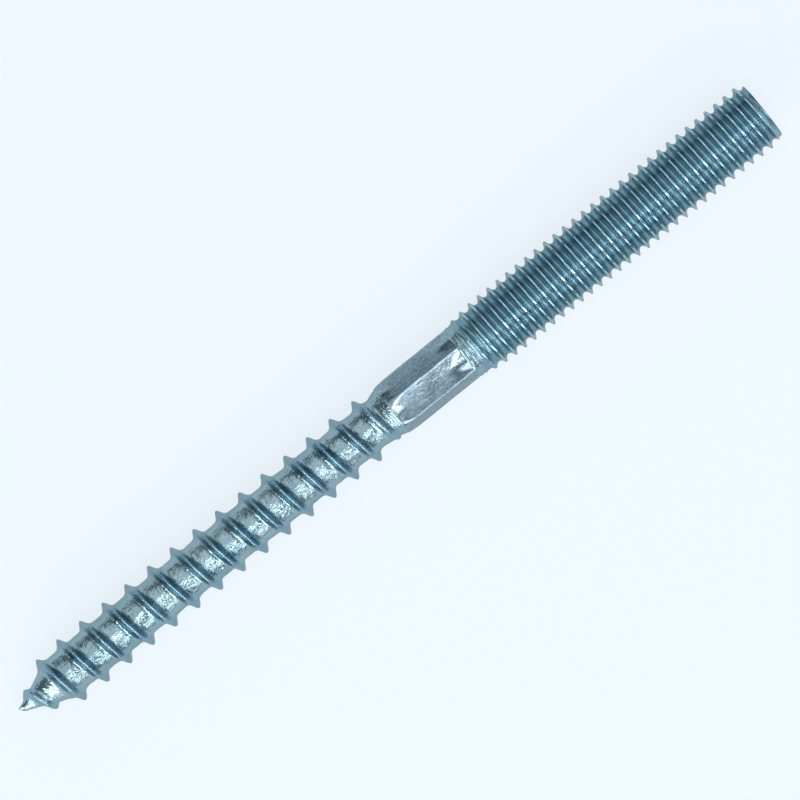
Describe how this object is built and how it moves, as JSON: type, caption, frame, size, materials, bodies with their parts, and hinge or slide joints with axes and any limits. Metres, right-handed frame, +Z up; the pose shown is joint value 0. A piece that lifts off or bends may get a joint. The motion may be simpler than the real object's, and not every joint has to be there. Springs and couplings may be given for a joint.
{
  "type": "hanger bolt",
  "caption": "Straight steel fastener with a pointed wood screw thread at one end, a short pressed hexagon in the middle and a machine-threaded stud at the other end.",
  "frame": {"origin": "on the surface that the bolt lies on, under the middle of its length and its axis", "axes": "+X along the bolt's axis, from the point of the wood screw to the end of the machine stud; +Z up"},
  "size_m": [0.0786, 0.0058, 0.0059],
  "materials": {
    "zinc_plated_steel": "bright blue-passivated zinc plating, slightly grainy, with paler worn crests"
  },
  "bodies": {
    "root": {"hanger_bolt": "zinc_plated_steel"}
  },
  "joints": []
}
